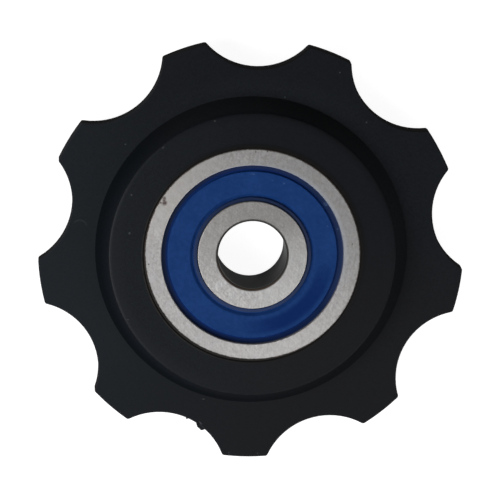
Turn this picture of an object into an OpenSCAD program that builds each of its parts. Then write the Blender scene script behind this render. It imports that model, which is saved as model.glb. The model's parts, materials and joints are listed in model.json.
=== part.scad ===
// Jockey wheel of a bicycle's rear derailleur: a moulded toothed wheel on a sealed ball bearing.
// The origin is on the bore's axis at half the bearing's width, and +Z runs along the axis.

/* [Bearing] */
// Bore of the inner ring
bore_d = 6; // [5:0.1:6.2]
// Outside diameter of the outer ring
bearing_d = 19; // [18.8:0.1:20]
// Width of both rings
bearing_w = 6; // [5.8:0.1:7]
// Diameter of one ball
ball_d = 3.5; // [3.2:0.05:3.6]
// Clearance between a ball and each race
ball_gap = 0.03; // [0.02:0.01:0.05]
// Depth of each race below its ring's shoulder
race_depth = 0.55; // [0.4:0.05:0.7]
// Rounding of the outer ring's outside corners
ring_corner_r = 0.16; // [0.1:0.01:0.3]
// Rounding of the corners where the rings face the seals
ring_inner_corner_r = 0.05; // [0.03:0.01:0.08]
// Width of the chamfer at each end of the bore
bore_chamfer = 0.25; // [0.1:0.01:0.3]

/* [Ball cage] */
// Thickness of the pressed sheet
cage_t = 0.25; // [0.2:0.01:0.3]
// Width of the ribbon across the balls
cage_band = 1.5; // [1.2:0.1:1.8]
// Clearance between a ball and its pocket
pocket_gap = 0.05; // [0.03:0.01:0.08]
// Diameter of a rivet's shank
rivet_d = 0.5; // [0.4:0.05:0.6]
// Diameter of a rivet's head
rivet_head_d = 0.9; // [0.8:0.05:1]
// Height of a rivet's head
rivet_head_h = 0.16; // [0.1:0.02:0.2]

/* [Seals] */
// Thickness of the seal
seal_t = 0.55; // [0.4:0.05:0.6]
// How far the seal's raised face lies below the rings' faces
seal_recess = 0.2; // [0.1:0.05:0.3]
// How far the outer ring's mouth is opened beyond its shoulder
seal_seat = 0.5; // [0.4:0.05:0.6]
// Depth of the snap groove beyond that mouth
snap_depth = 0.18; // [0.1:0.02:0.2]
// Height of the snap groove
snap_h = 0.35; // [0.3:0.05:0.4]
// Depth of the notch in the inner ring that the lip runs in
lip_notch = 0.25; // [0.2:0.01:0.35]
// Length of that notch from the ring's face
lip_notch_w = 1.0; // [0.9:0.05:1.1]
// Clearance between the lip and the inner ring
lip_gap = 0.04; // [0.03:0.01:0.08]
// Width of the sunk step along the seal's outer edge
seal_step_w = 0.56; // [0.4:0.02:0.7]
// Depth of the sunk step below the raised face
seal_step_h = 0.25; // [0.15:0.05:0.3]
// Width of the lip
lip_w = 0.34; // [0.25:0.01:0.4]
// Width of the groove between the lip and the raised face
lip_groove_w = 0.34; // [0.25:0.01:0.4]
// Width of that groove's floor, which its outer wall slopes down to
lip_groove_floor_w = 0.1; // [0.06:0.01:0.16]
// Depth of that groove
lip_groove_h = 0.2; // [0.1:0.05:0.25]
// Rounding of the seal's edges
seal_edge_r = 0.08; // [0.05:0.01:0.09]

/* [Toothed wheel] */
// Number of teeth
tooth_count = 9; // [8:1:9]
// Diameter over the tooth tips
tip_d = 37.42; // [36.5:0.02:38]
// Diameter at the bottom of the gaps between the teeth
root_d = 32.26; // [31:0.02:33]
// Radius of the round gap that a chain roller sits in
gap_r = 6.0; // [5.4:0.05:6.2]
// Rounding of the tooth tips' corners
tip_corner_r = 0.28; // [0.2:0.02:0.4]
// Thickness of the teeth
tooth_t = 1.6; // [1.4:0.1:2]
// Width of the small bevel round the teeth's outline
tooth_bevel = 0.1; // [0.06:0.02:0.16]
// Direction of the first gap
first_gap_a = 8.2; // [0:0.1:39]
// Diameter of the hub's flat face
hub_d = 25; // [24:0.1:26]
// Slope of the hub's flank, measured from the axis
hub_flank_a = 28.6; // [20:0.2:32]
// Rounding of the hub's edge
hub_edge_r = 0.15; // [0.1:0.01:0.3]
// Bevel at each end of the seat that holds the bearing
seat_bevel = 0.1; // [0.06:0.01:0.2]

/* [Torn moulding nub] */
// Which gap holds the nub
nub_gap = 6; // [0:1:7]
// How far the nub stands out from the gap's wall
nub_h = 0.34; // [0.2:0.02:0.4]
// Thickness of the nub along the axis
nub_t = 0.9; // [0.5:0.1:1.2]

/* [Hidden] */
$fn = 96;

// One ball node each
ball_count = 7;
// Direction of the first ball
first_ball_a = 90;
// Length by which a cutter overshoots the surface it opens
over = 1;

half_w = bearing_w / 2;
pitch_r = (bore_d + bearing_d) / 4;
ball_r = ball_d / 2;
// Radius of the races' section, as a multiple of the ball's
race_openness = 1.04;
race_r = race_openness * ball_r;
inner_race_r = pitch_r - ball_r - ball_gap;
outer_race_r = pitch_r + ball_r + ball_gap;
inner_land_r = inner_race_r + race_depth;
outer_land_r = outer_race_r - race_depth;
inner_face_r = inner_land_r - lip_notch;
outer_face_r = outer_land_r + seal_seat;
snap_r = outer_face_r + snap_depth;
seal_top = half_w - seal_recess;
seal_floor = seal_top - seal_t;
pocket_r = ball_r + pocket_gap;
lip_r = inner_face_r + lip_gap;

root_r = root_d / 2;
tip_r = tip_d / 2;
hub_r = hub_d / 2;
gap_step = 360 / tooth_count;
gap_centre_r = root_r + gap_r;
flank_h = half_w - tooth_t / 2;
hub_foot_r = hub_r + flank_h * tan(hub_flank_a);
seat_r = bearing_d / 2;

function unit(v) = v / norm(v);
function polar(r, a) = [r * cos(a), r * sin(a)];
function ball_a(k) = first_ball_a + k * 360 / ball_count;

// What rounding takes off the corner at p, whose edges run along the unit vectors a and b
module corner_waste(p, a, b, r) {
    half = acos(a * b) / 2;
    centre = p + unit(a + b) * r / sin(half);
    on_a = p + a * r / tan(half);
    on_b = p + b * r / tan(half);
    difference() {
        polygon([centre, 2 * on_a - centre, 2 * p - centre, 2 * on_b - centre]);
        translate(centre) circle(r = r);
    }
}

// A section mirrored about the wheel's middle plane
module both_sides() {
    children();
    mirror([0, 1]) children();
}

module around_balls() {
    for (k = [0 : ball_count - 1])
        rotate([0, 0, ball_a(k)]) translate([pitch_r, 0, 0]) children();
}

module between_balls() {
    rotate([0, 0, 180 / ball_count]) around_balls() children();
}

module outer_ring_section() {
    difference() {
        polygon([
            [outer_land_r, -seal_floor], [snap_r, -seal_floor], [snap_r, -seal_floor - snap_h],
            [outer_face_r, -seal_floor - snap_h - snap_depth / 2], [outer_face_r, -half_w],
            [seat_r, -half_w], [seat_r, half_w],
            [outer_face_r, half_w], [outer_face_r, seal_floor + snap_h + snap_depth / 2],
            [snap_r, seal_floor + snap_h], [snap_r, seal_floor], [outer_land_r, seal_floor]]);
        translate([outer_race_r - race_r, 0]) circle(r = race_r);
        both_sides() {
            corner_waste([seat_r, half_w], [-1, 0], [0, -1], ring_corner_r);
            corner_waste([outer_face_r, half_w], [1, 0], [0, -1], ring_inner_corner_r);
        }
    }
}

module outer_ring() {
    color("#b3b0ab") rotate_extrude() outer_ring_section();
}

module inner_ring_section() {
    bore_r = bore_d / 2;
    notch_z = half_w - lip_notch_w;
    difference() {
        polygon([
            [bore_r, -half_w], [inner_face_r, -half_w], [inner_face_r, -notch_z], [inner_land_r, -notch_z],
            [inner_land_r, notch_z], [inner_face_r, notch_z], [inner_face_r, half_w], [bore_r, half_w]]);
        translate([inner_race_r + race_r, 0]) circle(r = race_r);
        both_sides() {
            polygon([[bore_r, half_w], [bore_r + bore_chamfer, half_w], [bore_r, half_w - bore_chamfer]]);
            corner_waste([inner_face_r, half_w], [-1, 0], [0, -1], ring_inner_corner_r);
        }
    }
}

module inner_ring() {
    color("#b3b0ab") rotate_extrude() inner_ring_section();
}

module ball(k) {
    color("#d9d9d9") rotate([0, 0, ball_a(k - 1)]) translate([pitch_r, 0, 0]) sphere(r = ball_r);
}

// One half of the cage: the stamped ribbon, domed over each ball and cut out inside the domes
module cage_half() {
    dome_r = pocket_r + cage_t;
    difference() {
        intersection() {
            rotate_extrude() translate([pitch_r - cage_band / 2, 0]) square([cage_band, dome_r + over]);
            union() {
                translate([0, 0, -over]) cylinder(r = pitch_r + cage_band, h = cage_t + over);
                around_balls() sphere(r = dome_r);
            }
        }
        around_balls() sphere(r = pocket_r);
        between_balls() translate([0, 0, -over]) cylinder(d = rivet_d, h = cage_t + 2 * over);
    }
}

module cage_front() {
    color("#8f9296") cage_half();
}

module cage_back() {
    color("#85888c") mirror([0, 0, 1]) cage_half();
}

module rivet() {
    rotate_extrude() polygon([
        [0, -cage_t - rivet_head_h], [rivet_d / 2, -cage_t - rivet_head_h], [rivet_head_d / 2, -cage_t],
        [rivet_d / 2, -cage_t], [rivet_d / 2, cage_t],
        [rivet_head_d / 2, cage_t], [rivet_d / 2, cage_t + rivet_head_h], [0, cage_t + rivet_head_h]]);
}

module cage_rivets() {
    color("#a6a8ab") between_balls() rivet();
}

module seal_section() {
    raised_out_r = outer_face_r - seal_step_w;
    raised_in_r = lip_r + lip_w + lip_groove_w;
    step_z = seal_top - seal_step_h;
    groove_z = seal_top - lip_groove_h;
    groove_wall = unit([lip_groove_floor_w - lip_groove_w, -lip_groove_h]);
    difference() {
        polygon([
            [lip_r, seal_floor], [snap_r, seal_floor], [snap_r, seal_floor + snap_h],
            [outer_face_r, seal_floor + snap_h + snap_depth / 2], [outer_face_r, step_z], [raised_out_r, step_z],
            [raised_out_r, seal_top], [raised_in_r, seal_top], [lip_r + lip_w + lip_groove_floor_w, groove_z],
            [lip_r + lip_w, groove_z], [lip_r + lip_w, seal_top], [lip_r, seal_top]]);
        corner_waste([raised_out_r, seal_top], [-1, 0], [0, -1], seal_edge_r);
        corner_waste([raised_in_r, seal_top], [1, 0], groove_wall, seal_edge_r);
        corner_waste([lip_r + lip_w, seal_top], [-1, 0], [0, -1], seal_edge_r);
        corner_waste([lip_r, seal_top], [1, 0], [0, -1], seal_edge_r);
    }
}

module seal() {
    rotate_extrude() seal_section();
}

module seal_front() {
    color("#1c3c78") seal();
}

module seal_back() {
    color("#1c3c78") mirror([0, 0, 1]) seal();
}

// Section of the hub, from the bearing's seat out to the foot of the flank
module hub_section() {
    flank = [sin(hub_flank_a), -cos(hub_flank_a)];
    difference() {
        both_sides() polygon([
            [seat_r, 0], [hub_foot_r, 0], [hub_foot_r, tooth_t / 2], [hub_r, half_w],
            [seat_r + seat_bevel, half_w], [seat_r, half_w - seat_bevel]]);
        both_sides() corner_waste([hub_r, half_w], [-1, 0], flank, hub_edge_r);
    }
}

// The disc that the gaps are cut from, hollow where the hub takes over
module tooth_blank() {
    rotate_extrude() both_sides() polygon([
        [seat_r + over, 0], [tip_r, 0], [tip_r, tooth_t / 2 - tooth_bevel],
        [tip_r - tooth_bevel, tooth_t / 2], [seat_r + over, tooth_t / 2]]);
}

// A round cutter or post whose ends flare by the teeth's bevel: out with way = 1, in with way = -1
module bevelled_post(r, way) {
    edge_z = tooth_t / 2;
    rotate_extrude() both_sides() polygon([
        [0, 0], [r, 0], [r, edge_z - tooth_bevel], [r + way * tooth_bevel, edge_z],
        [r + way * tooth_bevel, edge_z + over], [0, edge_z + over]]);
}

// What rounding takes off the tooth corner on one side of a gap
module tip_corner_waste(side) {
    from_axis = tip_r - tip_corner_r;
    from_gap = gap_r + tip_corner_r;
    a = acos((from_axis ^ 2 + gap_centre_r ^ 2 - from_gap ^ 2) / (2 * from_axis * gap_centre_r));
    centre = polar(from_axis, side * a);
    on_tip = polar(tip_r, side * a);
    on_gap = centre + unit([gap_centre_r, 0] - centre) * tip_corner_r;
    corner = on_tip + on_gap - centre;
    difference() {
        translate([0, 0, -tooth_t / 2 - over / 2]) linear_extrude(tooth_t + over)
            polygon([centre, 2 * on_tip - centre, 2 * corner - centre, 2 * on_gap - centre]);
        translate(centre) bevelled_post(tip_corner_r, -1);
    }
}

module gap_waste() {
    translate([gap_centre_r, 0, 0]) bevelled_post(gap_r, 1);
    tip_corner_waste(1);
    tip_corner_waste(-1);
}

// Ragged stub left where the moulding was torn from its runner, on the wall of one gap.
// Its outline is given as height above the wall, as a share of the nub's, and angle along the wall.
module torn_nub() {
    root = 0.3;
    main = [[-root, 10.8], [0.05, 12], [0.42, 13.2], [0.9, 15.4], [0.92, 17.8], [1, 19.8], [0.72, 20.8],
            [0.3, 21.5], [-root, 23]];
    small = [[-root, 1], [0.55, 3.4], [0.5, 3.8], [-root, 5.6]];
    function on_wall(p) = polar(gap_r - p[0] * nub_h, 180 - p[1]);
    rotate([0, 0, first_gap_a + nub_gap * gap_step]) translate([gap_centre_r, 0, -nub_t / 2]) {
        linear_extrude(nub_t) polygon([for (p = main) on_wall(p)]);
        translate([0, 0, nub_t / 2]) linear_extrude(nub_t / 2) polygon([for (p = small) on_wall(p)]);
    }
}

module toothed_wheel() {
    color("#1e2225") union() {
        rotate_extrude() hub_section();
        difference() {
            tooth_blank();
            for (k = [0 : tooth_count - 1])
                rotate([0, 0, first_gap_a + k * gap_step]) gap_waste();
        }
        torn_nub();
    }
}

toothed_wheel();
outer_ring();
inner_ring();
ball(1);  // ball_1
ball(2);  // ball_2
ball(3);  // ball_3
ball(4);  // ball_4
ball(5);  // ball_5
ball(6);  // ball_6
ball(7);  // ball_7
cage_front();
cage_back();
cage_rivets();
seal_front();
seal_back();
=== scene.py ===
"""Looks of the derailleur pulley: finishes on its CAD pieces, a pale floor, studio light and the camera."""

import functools
import json
import math

import bpy
from mathutils import Matrix, Vector

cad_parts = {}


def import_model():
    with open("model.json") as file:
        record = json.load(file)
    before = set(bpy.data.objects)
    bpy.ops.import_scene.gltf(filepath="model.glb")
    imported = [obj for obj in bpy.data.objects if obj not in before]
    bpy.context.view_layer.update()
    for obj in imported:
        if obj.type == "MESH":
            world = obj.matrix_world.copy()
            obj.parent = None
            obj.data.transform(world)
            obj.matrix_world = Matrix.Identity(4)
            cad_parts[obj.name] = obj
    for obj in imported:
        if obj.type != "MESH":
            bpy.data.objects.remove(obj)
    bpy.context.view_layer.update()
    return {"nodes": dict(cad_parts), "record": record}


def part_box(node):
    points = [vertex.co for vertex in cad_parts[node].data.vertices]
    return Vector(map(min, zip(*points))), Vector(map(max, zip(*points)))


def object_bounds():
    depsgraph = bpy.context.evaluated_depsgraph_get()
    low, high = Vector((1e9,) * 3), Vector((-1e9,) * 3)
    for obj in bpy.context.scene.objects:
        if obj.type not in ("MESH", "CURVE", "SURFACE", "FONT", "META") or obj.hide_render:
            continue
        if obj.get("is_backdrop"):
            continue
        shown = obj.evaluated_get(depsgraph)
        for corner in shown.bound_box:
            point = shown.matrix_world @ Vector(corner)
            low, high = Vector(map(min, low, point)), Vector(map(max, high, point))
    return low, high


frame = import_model()

MM = 0.001

# Camera, fitted to the photograph with the bearing's 19 mm ring as the scale
TILT = math.radians(12.05)
AZIMUTH = math.radians(102.9)
DISTANCE = 350 * MM
PIXELS_PER_MM = 11.464
PICTURE_PX = 500
FACE_CENTRE_PX = (252.515, 255.425)
SENSOR_MM = 36
CLIP_START = 10 * MM

# Radii of the bearing and the wheel, in millimetres, where the finishes change
BORE_R = 3.0
CHAMFER_R = 3.25
FACE_OUT_R = 4.77
LIP_R = 5.15
RAISED_IN_R = 5.49
RAISED_OUT_R = 7.42
RING_IN_R = 7.98
RING_EDGE_R = 9.34
SEAT_R = 9.5
HUB_R = 12.5
FLANK_FOOT_R = 13.7
ROOT_R = 16.13

# Heights of the bearing's face and the toothed disc's face over the wheel's middle, in millimetres
FACE_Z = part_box("inner_ring")[1].z / MM
DISC_Z = 0.8
# Slope at which the bearing's ground faces fall outward
FACE_LEAN = 0.018

# Marks that the photograph shows: x and y in its pixels, height and radius in millimetres, and for a long
# mark its stretch and its direction in degrees
PLASTIC_FLECKS = (
    (228.8, 452.8, DISC_Z, 0.08), (257.6, 453.3, DISC_Z, 0.08), (339.8, 72.6, DISC_Z, 0.10),
    (129.5, 233.2, FACE_Z, 0.14), (203.5, 399.2, DISC_Z, 0.07, 2.5, 0), (131.5, 195.0, FACE_Z, 0.12),
    (125.4, 144.3, DISC_Z, 0.10), (284.8, 97.3, DISC_Z, 0.10), (214.8, 121.0, FACE_Z, 0.10),
    (163.1, 147.7, FACE_Z, 0.06, 3.0, 45), (366.5, 122.3, DISC_Z, 0.10), (127.9, 319.7, FACE_Z, 0.08),
)
TORN_STREAK = ((200.4, 423.0, DISC_Z, 0.09, 3.2, -45),)
# Painted shade beside the torn nub
TORN_SHADE = ((198.4, 423.2, DISC_Z, 0.12, 2.2, -60),)
STEEL_NICKS = (
    (255.8, 151.6, FACE_Z, 0.07, 2.5, 90), (267.3, 151.3, FACE_Z, 0.10), (148.7, 264.3, FACE_Z, 0.10),
    (154.3, 297.5, FACE_Z, 0.08), (172.6, 326.7, FACE_Z, 0.10), (352.2, 244.4, FACE_Z, 0.07, 2.0, 70),
)
STEEL_STAIN = (
    (164.7, 203.0, FACE_Z, 0.32), (164.3, 199.2, FACE_Z, 0.22, 1.6, 80), (160.8, 202.7, FACE_Z, 0.14),
)
RUBBER_SCUFFS = (
    (284.3, 184.0, FACE_Z, 0.12), (326.0, 205.0, FACE_Z, 0.22, 1.3, -50), (337.9, 230.2, FACE_Z, 0.12),
    (252.8, 174.7, FACE_Z, 0.09, 3.5, 0), (327.5, 226.5, FACE_Z, 0.08), (272.8, 180.9, FACE_Z, 0.06),
)
# The bent scratch at the left: the pixel that it bends round, then its radius and half its width in
# millimetres, and its direction from there and its reach to both sides of that, in degrees
SCRATCH_PX = (79.5, 227.5)
SCRATCH_BEND = (0.65, 0.09, 77, 70)
# Below 1, so that the scratch keeps its strength nearly to its ends
SCRATCH_TAPER = 0.3

# Share of a mark's or a speck's radius over which it has its full strength
MARK_CORE = 0.3
SPECK_CORE = 0.4
# The cells that only just hold a speck, as a share of all, have a fainter one
FAINT_SHARE = 0.02

FLOOR_SIZE = 4.0
# Keeps the floor out of the plane of the part's lower face
FLOOR_GAP = 0.02 * MM
FLOOR_LOOKS = {
    "Base Color": (0.35, 0.35, 0.35, 1),
    "Roughness": 0.9,
    "Specular IOR Level": 0.1,
    "Emission Color": (1, 1, 1, 1),
}
# Strength of the floor's glow for rays that see it directly; the lamps bring it up to white
FLOOR_GLOW = 0.93
# Strength of the even light on the part, where the white backdrop has 1
AMBIENT = 0.12
# Heights over the horizon, in degrees, up to which the backdrop is white and at which it ends
BACKDROP_FULL = 35
BACKDROP_END = 55

# The Mix node's sockets for colours, which share their names with those for numbers
MIX_COLOUR_A = 6
MIX_COLOUR_B = 7
MIX_COLOUR_RESULT = 2


def add_node(tree, kind, inputs=None, **settings):
    """A new node with these settings. An input is given as its value or as the socket that feeds it."""
    node = tree.nodes.new(kind)
    for name, value in settings.items():
        setattr(node, name, value)
    for key, value in (inputs or {}).items():
        if isinstance(value, bpy.types.NodeSocket):
            tree.links.new(value, node.inputs[key])
        else:
            node.inputs[key].default_value = value
    return node


class Finish:
    """One material. Its calls add nodes and return their output sockets; lengths are in millimetres.

    The base colour starts as a mix, and each tint lays a colour over it.
    """

    def __init__(self, name):
        self.material = bpy.data.materials.new(name)
        self.material.use_nodes = True
        self.tree = self.material.node_tree
        self.tree.nodes.clear()
        sources = self.node("ShaderNodeTexCoord").outputs
        self.place = self.vector("MULTIPLY", sources["Object"], (1 / MM, 1 / MM, 1 / MM))
        self.z = self.node("ShaderNodeSeparateXYZ", {0: self.place}).outputs["Z"]
        flat = self.flat_from(0, 0)
        self.radius = self.measure("LENGTH", flat)
        self.outward = self.vector("NORMALIZE", flat)
        # 1 on the faces, 0 on the upright walls
        upward = self.node("ShaderNodeSeparateXYZ", {0: sources["Normal"]}).outputs["Z"]
        self.facing = self.math("ABSOLUTE", upward)
        self.base = None

    def node(self, kind, inputs=None, **settings):
        return add_node(self.tree, kind, inputs, **settings)

    def math(self, operation, a, b=0.0):
        return self.node("ShaderNodeMath", {0: a, 1: b}, operation=operation).outputs["Value"]

    def vector(self, operation, a, b=(0, 0, 0)):
        return self.node("ShaderNodeVectorMath", {0: a, 1: b}, operation=operation).outputs["Vector"]

    def measure(self, operation, a, b=(0, 0, 0)):
        """The number that this operation makes of one or two vectors."""
        return self.node("ShaderNodeVectorMath", {0: a, 1: b}, operation=operation).outputs["Value"]

    def joined(self, operation, values):
        return functools.reduce(functools.partial(self.math, operation), values)

    def times(self, *factors):
        return self.joined("MULTIPLY", factors)

    def plus(self, *terms):
        return self.joined("ADD", terms)

    def most(self, *values):
        return self.joined("MAXIMUM", values)

    def step(self, value, start, end, low=0.0, high=1.0):
        """Goes smoothly from low to high as value goes from start to end."""
        inputs = {"Value": value, "From Min": start, "From Max": end, "To Min": low, "To Max": high}
        return self.node("ShaderNodeMapRange", inputs, interpolation_type="SMOOTHSTEP").outputs["Result"]

    def flat_from(self, x, y):
        """The way from (x, y) to the place, without its height."""
        return self.vector("MULTIPLY", self.vector("SUBTRACT", self.place, (x, y, 0)), (1, 1, 0))

    def turned(self, vector, direction):
        """The vector, turned so that this direction, in degrees, comes to lie along x."""
        inputs = {"Vector": vector, "Angle": math.radians(-direction)}
        return self.node("ShaderNodeVectorRotate", inputs, rotation_type="Z_AXIS").outputs["Vector"]

    def leaning(self, direction, along, across):
        """The place, scaled by along in that direction and by across at right angles to it."""
        return self.vector("MULTIPLY", self.turned(self.place, direction), (along, across, 1))

    def noise(self, per_mm, detail=3.0, roughness=0.55, vector=None):
        inputs = {"Vector": vector or self.place, "Scale": per_mm, "Detail": detail, "Roughness": roughness}
        return self.node("ShaderNodeTexNoise", inputs).outputs["Fac"]

    def specks(self, per_mm, size, share):
        """Sparse round specks. Their size is a share of their spacing, and share of the cells hold one."""
        cells = self.node("ShaderNodeTexVoronoi", {"Vector": self.place, "Scale": per_mm}).outputs
        dots = self.step(cells["Distance"], size, SPECK_CORE * size)
        return self.times(dots, self.step(cells["Color"], 1 - share, 1 - share + FAINT_SHARE))

    def towards(self, direction, half_width, outward=None):
        """1 in that direction from the axis, falling to 0 at half_width to its sides, in degrees."""
        a = math.radians(direction)
        along = self.measure("DOT_PRODUCT", outward or self.outward, (math.cos(a), math.sin(a), 0))
        return self.step(along, math.cos(math.radians(half_width)), 1.0)

    def band(self, inner, outer, soft):
        """1 between these radii, with edges that reach soft to both sides of them."""
        return self.times(self.step(self.radius, inner - soft, inner + soft),
                          self.step(self.radius, outer + soft, outer - soft))

    def spot(self, x, y, size, stretch=1.0, direction=0.0):
        """A soft spot of that radius round (x, y), drawn out by stretch in that direction, in degrees."""
        shape = self.vector("MULTIPLY", self.turned(self.flat_from(x, y), direction), (1 / stretch, 1, 0))
        return self.step(self.measure("LENGTH", shape), size, MARK_CORE * size)

    def spots(self, marks):
        """All these marks. Each one gives its pixel in the photograph, its height and the spot's shape."""
        return self.most(*(self.spot(*photo_place(px, py, z), *shape) for px, py, z, *shape in marks))

    def arc(self, x, y, radius, soft, direction, half_width):
        """A line bent round (x, y), soft wide to each side, over half_width on both sides of direction."""
        flat = self.flat_from(x, y)
        off_line = self.math("ABSOLUTE", self.math("SUBTRACT", self.measure("LENGTH", flat), radius))
        side = self.towards(direction, half_width, self.vector("NORMALIZE", flat))
        line = self.step(off_line, soft, MARK_CORE * soft)
        return self.times(line, self.math("POWER", side, SCRATCH_TAPER))

    def mix(self, factor, a, b):
        """Colour a where the factor is 0, b where it is 1."""
        colours = [c if isinstance(c, bpy.types.NodeSocket) else (*c, 1.0) for c in (a, b)]
        inputs = {"Factor": factor, MIX_COLOUR_A: colours[0], MIX_COLOUR_B: colours[1]}
        return self.node("ShaderNodeMix", inputs, data_type="RGBA").outputs[MIX_COLOUR_RESULT]

    def tint(self, colour, strength, *masks):
        """Lays a colour over the base, at this strength where every mask is 1."""
        self.base = self.mix(self.times(*masks, strength), self.base, colour)

    def bump(self, height, depth, under=None):
        """The surface's normal for a height of 0 to 1 that stands for depth, in millimetres."""
        inputs = {"Height": height, "Distance": depth * MM, "Strength": 1.0}
        if under:
            inputs["Normal"] = under
        return self.node("ShaderNodeBump", inputs).outputs["Normal"]

    def shader(self, **sockets):
        """Ends the material with its shader. In a socket's name, a _ stands for a space."""
        inputs = {name.replace("_", " "): value for name, value in sockets.items()}
        shader = self.node("ShaderNodeBsdfPrincipled", {"Base Color": self.base, **inputs})
        self.node("ShaderNodeOutputMaterial", {"Surface": shader.outputs["BSDF"]})
        return self.material


def camera_axes():
    """The camera's directions: back from what it sees, to the picture's right, and up."""
    back = Vector((math.sin(TILT) * math.cos(AZIMUTH), math.sin(TILT) * math.sin(AZIMUTH), math.cos(TILT)))
    right = (-back).cross(Vector((0, 1, 0))).normalized()
    return back, right, right.cross(-back)


def photo_place(px, py, z):
    """(x, y) in millimetres of the point at height z that the photograph shows at this pixel."""
    back, right, up = camera_axes()
    across = (px - FACE_CENTRE_PX[0]) / PIXELS_PER_MM
    down = (py - FACE_CENTRE_PX[1]) / PIXELS_PER_MM
    distance = DISTANCE / MM
    ray = -back + right * across / distance - up * down / distance
    start = back * distance + Vector((0, 0, FACE_Z))
    point = start + ray * (z - start.z) / ray.z
    return point.x, point.y


def plastic():
    """The wheel's fine matte plastic, with its dust, marks and grime, and painted light and shade."""
    f = Finish("black_plastic")
    grain = f.noise(9.0, 4.0)
    f.base = f.mix(f.noise(0.25, 2.0), (0.0094, 0.0101, 0.0139), (0.0120, 0.0137, 0.0175))
    f.tint((0.018, 0.019, 0.022), 0.6, f.step(f.noise(7.0), 0.45, 0.7))
    f.tint((0.006, 0.0065, 0.008), 0.3, f.step(f.noise(5.0), 0.55, 0.4))
    f.tint((0.0105, 0.016, 0.019), 0.4, f.step(f.noise(2.8), 0.42, 0.62))
    paint_light_and_shade_on_wheel(f)
    wear_and_painted_light_on_teeth(f)
    mark_plastic(f)
    grime_and_painted_light_round_bearing(f)
    # The faces, the bevels and the left of the hub's edge shine softly, the flanks and walls hardly at all
    hub_edge = f.times(f.band(HUB_R - 0.2, HUB_R, 0.03), f.towards(180, 60))
    shine = f.plus(f.step(f.facing, 0.5, 0.7, low=0.012, high=0.1), f.times(hub_edge, 0.12))
    return f.shader(Roughness=f.step(grain, 0.2, 0.8, low=0.7, high=0.9), Specular_IOR_Level=0.0,
                    Coat_Weight=shine, Coat_Roughness=0.4,
                    Normal=f.bump(grain, 0.012, f.bump(f.noise(1.5), 0.02)))


def paint_light_and_shade_on_wheel(f):
    """Painted light and shade: the paler and darker sides of the hub's face, the toothed disc and the flank
    between them.
    """
    hub = f.step(f.radius, HUB_R + 0.1, HUB_R - 0.1)
    disc = f.step(f.radius, FLANK_FOOT_R - 0.03, FLANK_FOOT_R + 0.03)
    # Painted shade and light: the hub's face is darkest at the upper right, most of all at its edge, which
    # is paler at the left
    f.tint((0.0062, 0.0068, 0.009), 0.55, hub, f.towards(40, 110))
    f.tint((0.020, 0.0215, 0.025), 0.4, hub, f.step(f.radius, HUB_R - 1.5, HUB_R), f.towards(205, 60))
    f.tint((0.0035, 0.0035, 0.004), 0.4, hub, f.step(f.radius, HUB_R - 0.8, HUB_R - 0.1), f.towards(60, 75))
    # Painted shade and light: the disc is darker at the top and the bottom, and paler at the left
    f.tint((0.006, 0.0066, 0.0085), 0.4, f.step(f.radius, FLANK_FOOT_R + 0.5, ROOT_R), f.towards(75, 80))
    f.tint((0.0135, 0.0185, 0.022), 0.5, disc, f.towards(195, 80))
    f.tint((0.0075, 0.0085, 0.0105), 0.5, disc, f.towards(-95, 60))
    # The whole wheel is greyer at the lower right
    f.tint((0.0115, 0.0113, 0.0118), 0.5, f.towards(-50, 70))
    # Painted shade and light: the flank is darker at the left, most of all along its foot, and paler at the
    # upper right
    flank = f.times(f.step(f.radius, HUB_R, HUB_R + 0.3), f.math("SUBTRACT", 1.0, disc))
    foot = f.step(f.radius, HUB_R + 0.2, FLANK_FOOT_R - 0.3)
    f.tint((0.0055, 0.008, 0.0105), 0.4, flank, f.towards(165, 90))
    f.tint((0.021, 0.022, 0.021), 0.5, flank, f.towards(65, 80))
    f.tint((0.004, 0.0055, 0.007), 0.6, flank, foot, f.towards(205, 120))


def wear_and_painted_light_on_teeth(f):
    """Painted highlight on the little bevel round the teeth, painted shade on it at the upper right, and
    paler gap walls.
    """
    slanted = f.times(f.step(f.facing, 0.5, 0.65), f.step(f.facing, 0.95, 0.8))
    bevel = f.times(slanted, f.step(f.radius, FLANK_FOOT_R, ROOT_R))
    # Painted highlight on the bevel, and painted shade on it at the upper right
    f.tint((0.022, 0.0225, 0.026), 0.7, bevel)
    f.tint((0.0055, 0.0048, 0.0034), 0.9, bevel, f.towards(50, 90))
    # Painted light, with the chain's wear and dust, makes the walls of the gaps paler grey where the lamps
    # hardly reach
    gap_wall = f.times(f.step(f.facing, 0.5, 0.3), f.step(f.radius, FLANK_FOOT_R + 0.8, ROOT_R - 0.8))
    f.tint((0.055, 0.053, 0.050), 0.5, gap_wall)


def mark_plastic(f):
    """Light flecks, the bent scratch, and the streak by the torn nub with its painted shade."""
    f.tint((0.10, 0.11, 0.11), 0.45, f.most(f.specks(0.9, 0.1, 0.06), f.spots(PLASTIC_FLECKS)))
    f.tint((0.055, 0.058, 0.065), 0.3, f.arc(*photo_place(*SCRATCH_PX, DISC_Z), *SCRATCH_BEND))
    f.tint((0.085, 0.085, 0.10), 0.6, f.spots(TORN_STREAK))
    f.tint((0.001, 0.001, 0.001), 0.9, f.spots(TORN_SHADE))


def grime_and_painted_light_round_bearing(f):
    """Oily grime beside the bearing, painted shadow darkest at the upper right, and a painted highlight
    line at the left.
    """
    grime = f.band(SEAT_R - 0.5, SEAT_R + 0.2, 0.12)
    # Painted shadow beside the bearing, darkest at the upper right
    f.tint((0.004, 0.0036, 0.003), 0.8, f.band(SEAT_R, SEAT_R + 0.35, 0.3), f.towards(55, 110))
    f.tint((0.013, 0.011, 0.010), 0.6, grime, f.step(f.noise(2.2), 0.2, 0.6))
    # Painted highlight: a pale line along the seat's edge at the left
    seat_highlight = f.times(f.band(SEAT_R + 0.1, SEAT_R + 0.2, 0.03), f.towards(200, 75))
    f.tint((0.032, 0.030, 0.026), 0.7, seat_highlight, f.step(f.noise(1.6), 0.3, 0.5))


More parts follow.
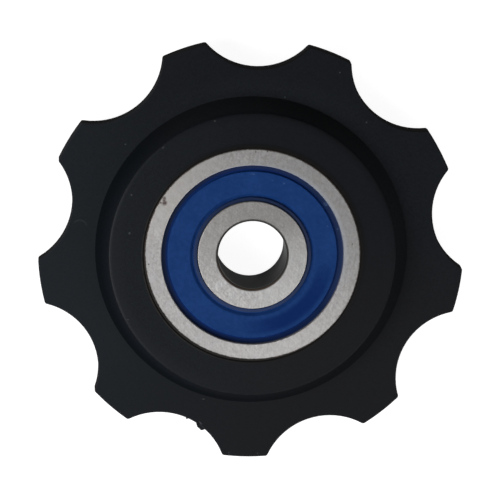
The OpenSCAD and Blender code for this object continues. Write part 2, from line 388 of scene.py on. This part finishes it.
def steel():
    """The rings' ground steel. The rim, dark with dirt and painted shade, the bore and the walls beside the
    seals are dull instead.
    """
    f = Finish("ground_steel")
    mottle = f.noise(2.6, 6.0, 0.75)
    streaks = f.noise(1.0, vector=f.leaning(0, 6.0, 0.7))
    f.base = f.mix(f.step(mottle, 0.3, 0.7), (0.243, 0.237, 0.233), (0.372, 0.363, 0.358))
    f.tint((0.425, 0.420, 0.430), 0.35, f.step(streaks, 0.45, 0.7))
    f.tint((0.290, 0.272, 0.258), 0.35, f.step(f.noise(0.9), 0.45, 0.65))
    f.tint((0.350, 0.360, 0.385), 0.3, f.step(f.noise(1.3, 2.0), 0.5, 0.62))
    f.tint((0.460, 0.450, 0.445), 0.5, f.step(f.noise(5.5, 4.0, 0.7), 0.4, 0.62))
    inner = f.step(f.radius, RAISED_IN_R + 0.5, RAISED_IN_R)
    grind(f, inner)
    paint_light_and_shade_on_rings(f, inner)
    mark_steel(f)
    rim = dirt_and_shade_on_rim(f)
    hole = bore(f)
    walls = low_walls(f)
    dull = f.most(rim, hole, walls)
    # The ground faces lean outward very slightly, which turns their shade round the axis
    lean = f.bump(f.radius, -FACE_LEAN)
    return f.shader(Metallic=f.step(dull, 0.0, 1.0, low=1.0, high=0.0), Specular_IOR_Level=0.0,
                    Roughness=f.step(mottle, 0.25, 0.75, low=0.38, high=0.46),
                    Normal=f.bump(mottle, 0.004, f.bump(streaks, 0.003, lean)))


def grind(f, inner):
    """Grinding marks in two directions, stronger on the inner ring, which has small dark pits too."""
    marks = f.times(f.plus(f.noise(1.0, roughness=0.65, vector=f.leaning(-50, 0.8, 6.0)),
                           f.noise(1.0, roughness=0.65, vector=f.leaning(80, 0.8, 6.0))), 0.5)
    f.tint((0.500, 0.495, 0.495), 0.5, f.step(marks, 0.51, 0.62))
    f.tint((0.220, 0.215, 0.210), 0.4, f.step(marks, 0.48, 0.37))
    f.tint((0.560, 0.555, 0.550), 0.35, inner, f.step(marks, 0.5, 0.6))
    f.tint((0.170, 0.160, 0.150), 0.45, inner, f.step(f.noise(6.5, 4.0, 0.75), 0.52, 0.38))


def paint_light_and_shade_on_rings(f, inner):
    """Painted light and shade on each ring's sides, and a painted highlight on the outer one's inner edge
    at the upper right.
    """
    outer = f.math("SUBTRACT", 1.0, inner)
    # Painted light and shade: each ring paler or darker towards these sides
    f.tint((0.240, 0.230, 0.220), 0.6, inner, f.towards(90, 120))
    f.tint((0.490, 0.490, 0.485), 0.4, inner, f.towards(-25, 75))
    f.tint((0.460, 0.460, 0.455), 0.2, inner, f.towards(-100, 80))
    f.tint((0.270, 0.265, 0.260), 0.4, inner, f.towards(180, 45))
    f.tint((0.480, 0.465, 0.450), 0.25, outer, f.towards(-68, 55))
    f.tint((0.280, 0.270, 0.270), 0.35, outer, f.towards(-140, 60))
    f.tint((0.430, 0.410, 0.390), 0.5, outer, f.towards(138, 40))
    f.tint((0.260, 0.255, 0.255), 0.4, outer, f.towards(30, 60))
    f.tint((0.260, 0.257, 0.257), 0.3, outer, f.towards(75, 125))
    # Painted highlight, bluish, along the outer ring's inner edge at the upper right
    f.tint((0.300, 0.310, 0.380), 0.5, f.band(RING_IN_R - 0.1, RING_IN_R + 0.1, 0.05), f.towards(50, 115))
    f.tint((0.370, 0.385, 0.420), 0.6, f.band(RING_IN_R - 0.1, RING_IN_R + 0.3, 0.15), f.towards(28, 60))


def mark_steel(f):
    """Specks, nicks and the brown stain."""
    f.tint((0.110, 0.100, 0.090), 0.5, f.specks(2.6, 0.16, 0.2))
    f.tint((0.045, 0.038, 0.032), 0.8, f.spots(STEEL_NICKS))
    f.tint((0.070, 0.045, 0.042), 0.9, f.spots(STEEL_STAIN), f.step(f.noise(4.0), 0.25, 0.5))


def dirt_and_shade_on_rim(f):
    """The outer ring's rounded edge, dark with dirt and painted shade. Returns where it lies."""
    # The dirt hides the edge at the lower left, and wear bares it at the lower right and the upper left
    ragged = f.plus(f.radius, f.times(f.noise(4.0, 4.0), 0.14), f.times(f.towards(-115, 80), 0.09),
                    f.times(f.towards(-45, 50), -0.04), f.times(f.towards(125, 50), -0.03))
    rim = f.step(ragged, RING_EDGE_R + 0.02, RING_EDGE_R + 0.14)
    # Dirt and painted shade darken the rounded edge
    f.tint((0.045, 0.037, 0.032), 1.0, rim)
    f.tint((0.022, 0.0215, 0.020), 0.8, rim, f.towards(-120, 80))
    return rim


def bore(f):
    """The bore's chamfer and wall, in painted light and shade; the wall is paler towards the back. Returns
    where they are.
    """
    hole = f.step(f.radius, CHAMFER_R - 0.02, CHAMFER_R - 0.1)
    wall = f.step(f.radius, BORE_R + 0.03, BORE_R)
    depth = f.step(f.z, FACE_Z - 0.5, -FACE_Z)
    # Painted shade: the chamfer is dark, browner and paler towards the bottom, with a darker line where it
    # meets the wall
    f.tint((0.060, 0.058, 0.055), 1.0, hole)
    f.tint((0.100, 0.070, 0.052), 0.8, hole, f.towards(-110, 90))
    f.tint((0.012, 0.012, 0.012), 0.7, f.band(BORE_R, BORE_R + 0.08, 0.03))
    # Painted light and shade on the wall: paler towards the back and at the lower left, darker at the lower
    # right
    f.tint(f.mix(depth, (0.190, 0.192, 0.192), (0.360, 0.365, 0.365)), 1.0, wall)
    f.tint((0.420, 0.410, 0.400), 0.4, wall, f.towards(-145, 60))
    f.tint((0.010, 0.010, 0.010), 0.5, wall, f.towards(-42, 50))
    return hole


def low_walls(f):
    """The low walls on both sides of a seal, and the corner over the outer one. Returns where they are."""
    beside_seal = f.most(f.band(RING_IN_R - 0.1, RING_IN_R + 0.06, 0.04),
                         f.band(FACE_OUT_R - 0.06, FACE_OUT_R + 0.1, 0.04))
    upright = f.times(f.step(f.facing, 0.5, 0.3), beside_seal)
    rounded = f.times(f.step(f.facing, 0.99, 0.93), f.band(RING_IN_R - 0.1, RING_IN_R + 0.1, 0.03))
    # Only at the upper right is the corner as dull as the walls
    walls = f.most(upright, f.times(rounded, f.towards(30, 70)))
    # Painted light and shade: the walls and the corner are pale grey, bluer and darker at the upper right
    f.tint(f.mix(f.towards(35, 75), (0.420, 0.400, 0.380), (0.230, 0.260, 0.330)), 1.0, walls)
    return walls


def rubber():
    """The seals' rubber, with its sunk step, worn lip and scuffs, and painted light and shade."""
    f = Finish("blue_rubber")
    cloud = f.plus(f.times(f.noise(0.5), 0.5), f.times(f.noise(2.5), 0.5))
    f.base = f.mix(f.step(cloud, 0.3, 0.7), (0.0075, 0.036, 0.150), (0.0125, 0.050, 0.192))
    # The middle of the raised band is darkest at the lower right
    middle = f.band(RAISED_IN_R + 0.35, RAISED_OUT_R - 0.35, 0.25)
    f.tint((0.0005, 0.0155, 0.104), 0.8, middle, f.towards(-52, 52))
    # Painted shade: the sunk step outside it is dark, darkest towards the bottom, with a bluer line of
    # painted shade beside the band, and it is frayed and grey by the ring
    sunk = f.step(f.radius, RAISED_OUT_R + 0.02, RAISED_OUT_R + 0.07)
    frayed = f.band(RAISED_OUT_R + 0.24, RING_IN_R - 0.08, 0.08)
    f.tint((0.003, 0.011, 0.0545), 0.9, sunk)
    f.tint((0.011, 0.028, 0.092), 0.9, sunk, f.towards(35, 105))
    f.tint((0.020, 0.037, 0.112), 0.8, sunk, f.towards(0, 40))
    f.tint((0.012, 0.024, 0.078), 0.8, sunk, f.towards(175, 60))
    f.tint((0.005, 0.017, 0.115), 0.5, sunk, f.towards(90, 45))
    f.tint((0.003, 0.025, 0.145), 0.7, f.band(RAISED_OUT_R + 0.02, RAISED_OUT_R + 0.15, 0.04))
    f.tint((0.022, 0.030, 0.050), 0.45, frayed, f.towards(110, 140))
    f.tint((0.120, 0.130, 0.170), 0.35, f.step(f.radius, RING_IN_R - 0.1, RING_IN_R - 0.03))
    # The lip is worn grey, and paler from the left round to the lower right, as painted light
    lip = f.step(f.radius, LIP_R + 0.02, LIP_R - 0.06)
    # Faint painted shade in the groove beside the lip
    f.tint((0.003, 0.014, 0.075), 0.1, f.band(LIP_R, RAISED_IN_R - 0.08, 0.06))
    f.tint((0.016, 0.024, 0.054), 0.85, lip)
    f.tint((0.032, 0.052, 0.130), 0.85, lip, f.towards(-115, 150))
    f.tint((0.036, 0.050, 0.100), 0.5, lip, f.towards(0, 60))
    f.tint((0.070, 0.130, 0.270), 0.6, f.spots(RUBBER_SCUFFS), f.step(f.noise(5.0), 0.3, 0.6))
    return f.shader(Roughness=0.42, Specular_IOR_Level=0.04,
                    Normal=f.bump(f.noise(6.0, 4.0), 0.012, f.bump(cloud, 0.05)))


def polished_ball():
    """The bearing's balls, bright with a faint cloud."""
    f = Finish("polished_steel")
    f.base = f.mix(f.noise(1.0), (0.70, 0.70, 0.70), (0.76, 0.76, 0.77))
    return f.shader(Metallic=1.0, Roughness=f.step(f.noise(8.0), 0.3, 0.7, low=0.08, high=0.14))


def pressed_sheet():
    """The cage's sheet steel and its rivets, with a drawn grain."""
    f = Finish("pressed_sheet")
    drawn = f.noise(3.0, 4.0)
    f.base = f.mix(drawn, (0.42, 0.43, 0.45), (0.55, 0.56, 0.58))
    return f.shader(Metallic=1.0, Roughness=f.step(drawn, 0.3, 0.7, low=0.3, high=0.42),
                    Normal=f.bump(drawn, 0.004))


def seen_directly(tree):
    """1 for rays that come from the camera, or by way of metal or glass, else 0."""
    rays = add_node(tree, "ShaderNodeLightPath").outputs
    value = rays["Is Camera Ray"]
    for name in ("Is Glossy Ray", "Is Transmission Ray"):
        either = add_node(tree, "ShaderNodeMath", {0: value, 1: rays[name]}, operation="MAXIMUM")
        value = either.outputs["Value"]
    return value


def floor():
    """A pale sheet under the part. Its glow, seen only directly, makes it white but leaves a shadow."""
    bpy.ops.mesh.primitive_plane_add(size=FLOOR_SIZE, location=(0, 0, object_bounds()[0].z - FLOOR_GAP))
    sheet = bpy.context.object
    sheet.name = "floor"
    paper = bpy.data.materials.new("white_paper")
    paper.use_nodes = True
    tree = paper.node_tree
    shader = tree.nodes["Principled BSDF"]
    for name, value in FLOOR_LOOKS.items():
        shader.inputs[name].default_value = value
    glow = add_node(tree, "ShaderNodeMath", {0: seen_directly(tree), 1: FLOOR_GLOW}, operation="MULTIPLY")
    tree.links.new(glow.outputs["Value"], shader.inputs["Emission Strength"])
    sheet.data.materials.append(paper)
    sheet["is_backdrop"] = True


def world():
    """A white backdrop round the floor, which the metal shows too, and a low even light on the part."""
    sky = bpy.data.worlds.new("studio")
    bpy.context.scene.world = sky
    sky.use_nodes = True
    tree = sky.node_tree
    way = add_node(tree, "ShaderNodeTexCoord").outputs["Generated"]
    height = add_node(tree, "ShaderNodeSeparateXYZ", {0: way}).outputs["Z"]
    fade = {"Value": height, "From Min": math.sin(math.radians(BACKDROP_FULL)),
            "From Max": math.sin(math.radians(BACKDROP_END)), "To Min": 1.0, "To Max": AMBIENT}
    backdrop = add_node(tree, "ShaderNodeMapRange", fade, interpolation_type="SMOOTHSTEP")
    choice = {"Value": seen_directly(tree), "To Min": AMBIENT, "To Max": backdrop.outputs["Result"]}
    level = add_node(tree, "ShaderNodeMapRange", choice)
    background = tree.nodes["Background"]
    background.inputs["Color"].default_value = (1, 1, 1, 1)
    tree.links.new(level.outputs["Result"], background.inputs["Strength"])


def softbox(name, direction, elevation, distance, size, power):
    """A square lamp aimed at the bearing, with its place in degrees and metres and its power in watts."""
    a = math.radians(direction)
    e = math.radians(elevation)
    way = Vector((math.cos(e) * math.cos(a), math.cos(e) * math.sin(a), math.sin(e)))
    lamp = bpy.data.lights.new(name, "AREA")
    lamp.size = size
    lamp.energy = power
    box = bpy.data.objects.new(name, lamp)
    box.location = way * distance
    box.rotation_euler = way.to_track_quat("Z", "Y").to_euler()
    box.visible_camera = False
    bpy.context.scene.collection.objects.link(box)


def camera():
    """The photograph's view: the bearing's face keeps its place and its scale in the picture."""
    back, right, up = camera_axes()
    shift_right = (PICTURE_PX / 2 - FACE_CENTRE_PX[0]) / PIXELS_PER_MM * MM
    shift_up = (FACE_CENTRE_PX[1] - PICTURE_PX / 2) / PIXELS_PER_MM * MM
    place = Vector((0, 0, FACE_Z * MM)) + back * DISTANCE + right * shift_right + up * shift_up
    lens = bpy.data.cameras.new("camera")
    lens.sensor_width = SENSOR_MM
    lens.lens = PIXELS_PER_MM * DISTANCE / MM / PICTURE_PX * SENSOR_MM
    lens.clip_start = CLIP_START
    eye = bpy.data.objects.new("camera", lens)
    eye.matrix_world = Matrix.Translation(place) @ Matrix((right, up, back)).transposed().to_4x4()
    bpy.context.scene.collection.objects.link(eye)
    bpy.context.scene.camera = eye


finishes = {
    "wheel_plastic": plastic(),
    "ring_steel": steel(),
    "seal_rubber": rubber(),
    "ball_steel": polished_ball(),
    "cage_steel": pressed_sheet(),
}
for part in frame["record"]["subparts"]:
    mesh = frame["nodes"][part["node"]].data
    mesh.materials.clear()
    mesh.materials.append(finishes[part["material_slot"]])

floor()
world()
softbox("key", direction=-168, elevation=46, distance=0.2, size=0.14, power=0.28)
softbox("on the metal", direction=-97, elevation=62, distance=0.3, size=0.14, power=0.178)
softbox("low right", direction=-38, elevation=26, distance=0.3, size=0.2, power=0.24)
camera()
bpy.context.scene.view_settings.view_transform = "Standard"
